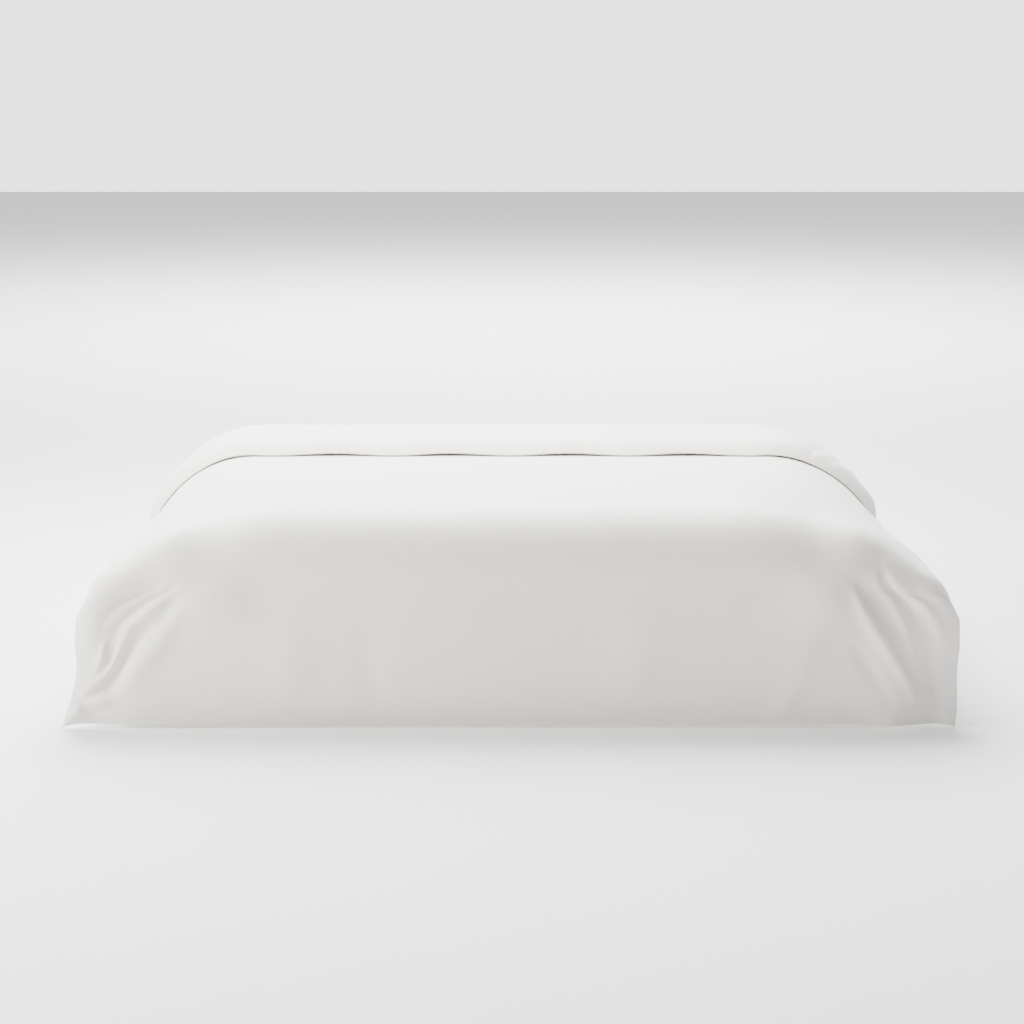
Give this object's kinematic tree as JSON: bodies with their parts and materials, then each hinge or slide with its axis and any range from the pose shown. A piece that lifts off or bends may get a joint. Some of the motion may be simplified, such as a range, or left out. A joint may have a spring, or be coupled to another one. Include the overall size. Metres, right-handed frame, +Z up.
{
  "type": "duvet",
  "caption": "Duvet draped over a wide mattress, head edge turned back as a cuff: sateen cover with a concealed zip, channelled down insert, corner ties and loops.",
  "frame": {"origin": "on the mattress top's plane, on the middle line, halfway between the fold of the cuff and the mattress's foot edge", "axes": "+X to the right seen from the foot of the bed, +Y towards the head, +Z up"},
  "size_m": [2.2324, 1.3552, 0.5542],
  "materials": {
    "sateen": "fine polished cotton sateen, off-white, soft low sheen",
    "downproof": "dense plain-weave downproof cotton",
    "down": "matt down clusters",
    "tape": "herringbone cotton tape",
    "nylon": "moulded nylon coil, satin",
    "metal": "nickel-plated, lightly brushed",
    "label": "woven satin label, blank"
  },
  "bodies": {
    "duvet": {"cover_top_panel": "sateen", "cover_back_panel": "sateen", "cover_hem_facing": "sateen", "insert_top_shell": "downproof", "insert_back_shell": "downproof", "baffle_wall_1": "downproof", "baffle_wall_2": "downproof", "baffle_wall_3": "downproof", "baffle_wall_4": "downproof", "baffle_wall_5": "downproof", "down_channel_1": "down", "down_channel_2": "down", "down_channel_3": "down", "down_channel_4": "down", "down_channel_5": "down", "down_channel_6": "down", "cover_tie_foot_left": "tape", "cover_tie_foot_right": "tape", "cover_tie_head_left": "tape", "cover_tie_head_right": "tape", "insert_loop_foot_left": "tape", "insert_loop_foot_right": "tape", "insert_loop_head_left": "tape", "insert_loop_head_right": "tape", "insert_edge_binding": "tape", "zip_tape_upper": "tape", "zip_tape_lower": "tape", "zip_coil_upper": "nylon", "zip_coil_lower": "nylon", "zip_stop_closed_end": "metal", "zip_stop_open_end": "metal", "care_label": "label"},
    "slider": {"zip_slider": "metal"},
    "pull_tab": {"zip_pull_tab": "metal"}
  },
  "joints": [
    {"name": "zip_slide", "type": "slide", "parent": "duvet", "child": "slider", "axis": [1, 0, 0], "range_m": [0, 1.674]},
    {"name": "pull_tab_swing", "type": "hinge", "parent": "slider", "child": "pull_tab", "pos_m": [-0.8372, -0.6438, -0.347], "axis": [0, 0, 1], "range_deg": [0, 170]}
  ]
}
